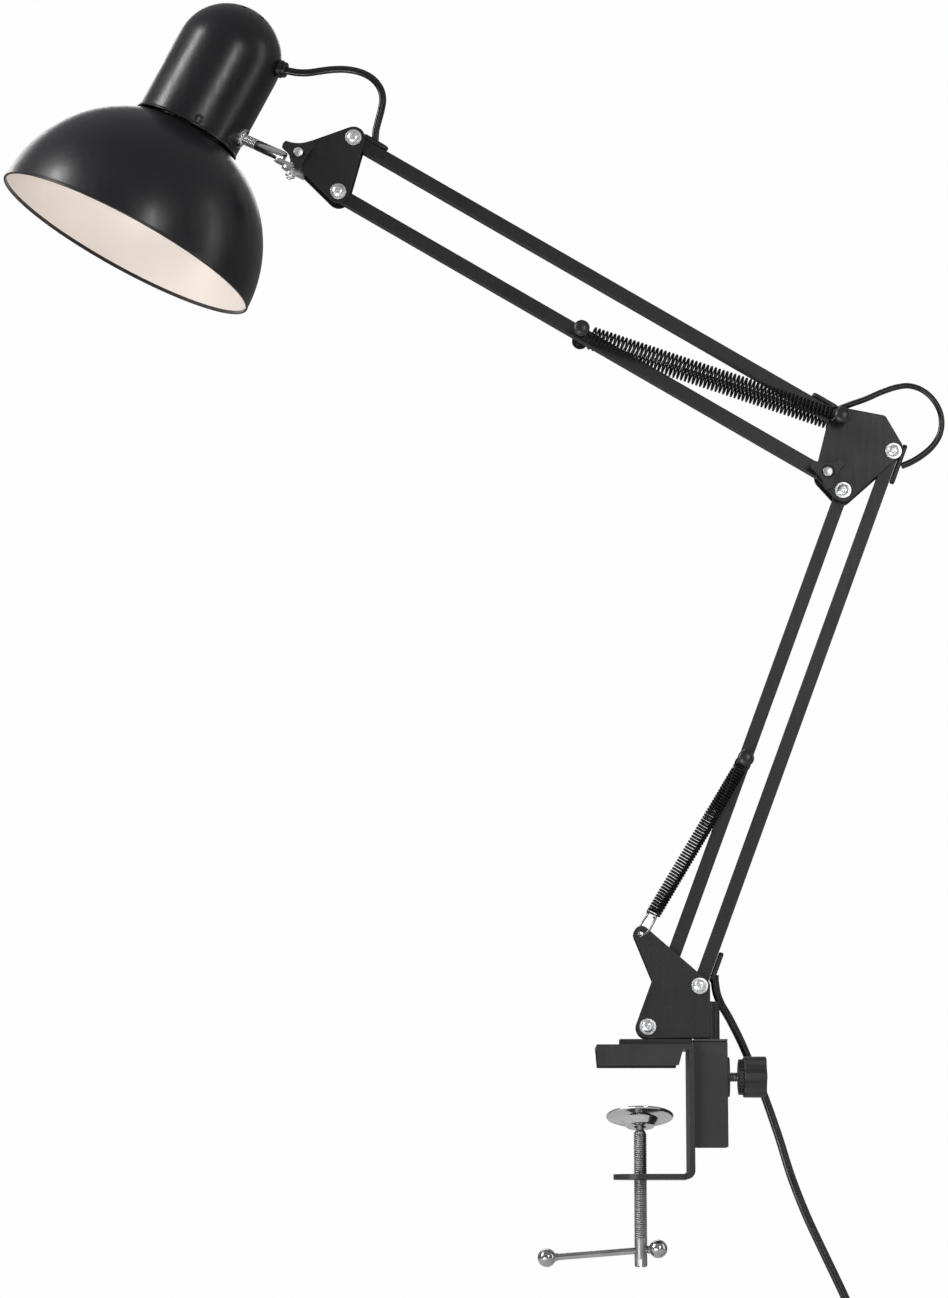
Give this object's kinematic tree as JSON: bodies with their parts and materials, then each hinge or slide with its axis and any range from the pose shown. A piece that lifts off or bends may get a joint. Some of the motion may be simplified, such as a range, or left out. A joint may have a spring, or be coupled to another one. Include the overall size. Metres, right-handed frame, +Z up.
{
  "type": "architect desk lamp",
  "caption": "Desk lamp with a domed shade on two sprung parallelogram arms, held to a desk edge by a screw clamp, with its lead, switch and plug.",
  "frame": {"origin": "on the clamp screw's axis, at the level of the upper jaw's lower edges, where the jaw rests on the desk", "axes": "+Z up along the clamp screw and the post, +X from the jaws towards the post, the arms move in the XZ plane and the head is on the -X side, +Y away from the wing nuts"},
  "size_m": [0.5796, 0.17, 0.9602],
  "materials": {
    "bracket_grey": "satin dark grey powder coat",
    "socket_grey": "satin dark grey powder coat",
    "arm_black": "satin black powder coat",
    "plate_black": "satin black powder coat",
    "cap_black": "satin black lacquer",
    "shade_enamel": "satin black lacquer outside, warm white enamel inside",
    "zinc": "bright zinc plate",
    "chrome": "polished chrome plate",
    "spring_steel": "blackened spring wire",
    "knob_plastic": "moulded dark grey plastic",
    "black_plastic": "moulded black plastic",
    "stud_black": "black oxide",
    "bush_nylon": "black nylon",
    "ceramic": "glazed off-white",
    "brass": "drawn brass",
    "cord_pvc": "black PVC, satin",
    "switch_plastic": "black moulded plastic",
    "rocker_plastic": "black moulded plastic",
    "plug_plastic": "black moulded plastic"
  },
  "bodies": {
    "clamp": {"clamp_bracket": "bracket_grey", "clamp_socket": "socket_grey", "socket_bush": "bush_nylon"},
    "lock_knob": {"lock_screw": "zinc", "lock_knob": "knob_plastic"},
    "screw_carriage": {"pad_washer": "zinc"},
    "pressure_pad": {"pressure_pad": "chrome"},
    "clamp_screw": {"clamp_screw": "zinc"},
    "tommy_bar": {"tommy_bar": "chrome"},
    "base": {"post": "arm_black", "base_plate_front": "plate_black", "base_plate_back": "plate_black", "base_bolt_cord": "zinc", "base_bolt_spring": "zinc", "lead_cord": "cord_pvc", "lead_tail": "cord_pvc", "lead_coil": "cord_pvc", "plug_cord": "cord_pvc", "switch_body": "switch_plastic", "plug": "plug_plastic"},
    "switch_rocker": {"switch_rocker": "rocker_plastic"},
    "lower_cord_arm": {"lower_cord_tube": "arm_black", "lower_grommet_base": "black_plastic", "lower_grommet_elbow": "black_plastic"},
    "lower_spring_arm": {"lower_spring_tube": "arm_black", "lower_spring_stud": "stud_black", "lower_spring_front": "spring_steel", "lower_spring_back": "spring_steel"},
    "elbow": {"elbow_plate_front": "plate_black", "elbow_plate_back": "plate_black", "elbow_bolt_cord": "zinc", "elbow_bolt_spring": "zinc", "elbow_stud": "stud_black", "elbow_tension_bolt": "zinc"},
    "elbow_wing_nut": {"elbow_wing_nut": "black_plastic"},
    "upper_cord_arm": {"upper_cord_tube": "arm_black", "upper_grommet_elbow": "black_plastic", "upper_grommet_head": "black_plastic", "elbow_cord": "cord_pvc"},
    "upper_spring_arm": {"upper_spring_tube": "arm_black", "upper_spring_stud": "stud_black", "upper_spring_front": "spring_steel", "upper_spring_back": "spring_steel"},
    "head_bracket": {"head_plate_front": "plate_black", "head_plate_back": "plate_black", "head_bolt_cord": "zinc", "head_bolt_spring": "zinc", "head_tension_bolt": "zinc", "head_cord": "cord_pvc"},
    "head_wing_nut": {"head_wing_nut": "black_plastic"},
    "yoke": {"yoke": "zinc", "yoke_screw": "zinc"},
    "lamp_head": {"link_rod": "chrome", "saddle": "chrome", "cap": "cap_black", "shade": "shade_enamel", "lampholder": "ceramic", "contact_shell": "brass", "shade_ring": "black_plastic", "cord_gland": "black_plastic"}
  },
  "joints": [
    {"name": "base_swivel", "type": "hinge", "parent": "clamp", "child": "base", "pos_m": [0.0419, 0, 0], "axis": [0, 0, 1], "range_deg": [-180, 180]},
    {"name": "lower_arm_tilt", "type": "hinge", "parent": "base", "child": "lower_cord_arm", "pos_m": [0.0358, 0, 0.0475], "axis": [0, 1, 0], "range_deg": [-50, 18], "deforming": ["lead_cord"]},
    {"name": "lower_spring_arm_tilt", "type": "hinge", "parent": "base", "child": "lower_spring_arm", "pos_m": [0.0047, 0, 0.0232], "axis": [0, 1, 0], "range_deg": [-50, 18], "deforming": ["lower_spring_front", "lower_spring_back"]},
    {"name": "elbow_level", "type": "hinge", "parent": "lower_cord_arm", "child": "elbow", "pos_m": [0.15676, 0, 0.37274], "axis": [0, 1, 0], "range_deg": [-18, 50]},
    {"name": "upper_arm_tilt", "type": "hinge", "parent": "elbow", "child": "upper_cord_arm", "pos_m": [0.12526, 0, 0.39304], "axis": [0, 1, 0], "range_deg": [-75, 50], "deforming": ["elbow_cord"]},
    {"name": "upper_spring_arm_tilt", "type": "hinge", "parent": "elbow", "child": "upper_spring_arm", "pos_m": [0.11606, 0, 0.35874], "axis": [0, 1, 0], "range_deg": [-75, 50], "deforming": ["upper_spring_front", "upper_spring_back"]},
    {"name": "head_bracket_level", "type": "hinge", "parent": "upper_cord_arm", "child": "head_bracket", "pos_m": [-0.17311, 0, 0.5702], "axis": [0, 1, 0], "range_deg": [-50, 75], "deforming": ["head_cord"]},
    {"name": "head_tilt", "type": "hinge", "parent": "head_bracket", "child": "yoke", "pos_m": [-0.20671, 0, 0.5591], "axis": [0, 1, 0], "range_deg": [-50, 60]},
    {"name": "head_swing", "type": "hinge", "parent": "yoke", "child": "lamp_head", "pos_m": [-0.20818, 0, 0.55625], "axis": [0.4587, 0, 0.8886], "range_deg": [-18, 40]},
    {"name": "pad_travel", "type": "slide", "parent": "clamp", "child": "screw_carriage", "axis": [0, 0, 1], "range_m": [-0.024, 0.022]},
    {"name": "screw_turn", "type": "hinge", "parent": "screw_carriage", "child": "clamp_screw", "pos_m": [0, 0, -0.07], "axis": [0, 0, 1], "range_deg": [-6900, 6300]},
    {"name": "pad_tilt", "type": "hinge", "parent": "screw_carriage", "child": "pressure_pad", "pos_m": [0, 0, -0.035], "axis": [1, 0, 0], "range_deg": [0, 30]},
    {"name": "tommy_bar_slide", "type": "slide", "parent": "clamp_screw", "child": "tommy_bar", "axis": [0.9969, 0, 0.0785], "range_m": [0, 0.046]},
    {"name": "lock_knob_turn", "type": "hinge", "parent": "clamp", "child": "lock_knob", "pos_m": [0.06, 0, -0.0062], "axis": [1, 0, 0], "range_deg": [0, 360]},
    {"name": "elbow_wing_nut_turn", "type": "hinge", "parent": "elbow", "child": "elbow_wing_nut", "pos_m": [0.11606, -0.012, 0.35874], "axis": [0, 1, 0], "range_deg": [-360, 0]},
    {"name": "head_wing_nut_turn", "type": "hinge", "parent": "head_bracket", "child": "head_wing_nut", "pos_m": [-0.20671, -0.012, 0.5591], "axis": [0, 1, 0], "range_deg": [-360, 0]},
    {"name": "switch_rocker_press", "type": "hinge", "parent": "base", "child": "switch_rocker", "pos_m": [0.1273, 0.0235, -0.1745], "axis": [1, 0, 0], "range_deg": [0, 12]}
  ],
  "couplings": [
    {"joint": "lower_spring_arm_tilt", "follows": "lower_arm_tilt", "ratio": 1},
    {"joint": "elbow_level", "follows": "lower_arm_tilt", "ratio": -1},
    {"joint": "upper_spring_arm_tilt", "follows": "upper_arm_tilt", "ratio": 1},
    {"joint": "head_bracket_level", "follows": "upper_arm_tilt", "ratio": -1},
    {"joint": "pad_travel", "follows": "screw_turn", "m_per_rad": 0.000199}
  ]
}
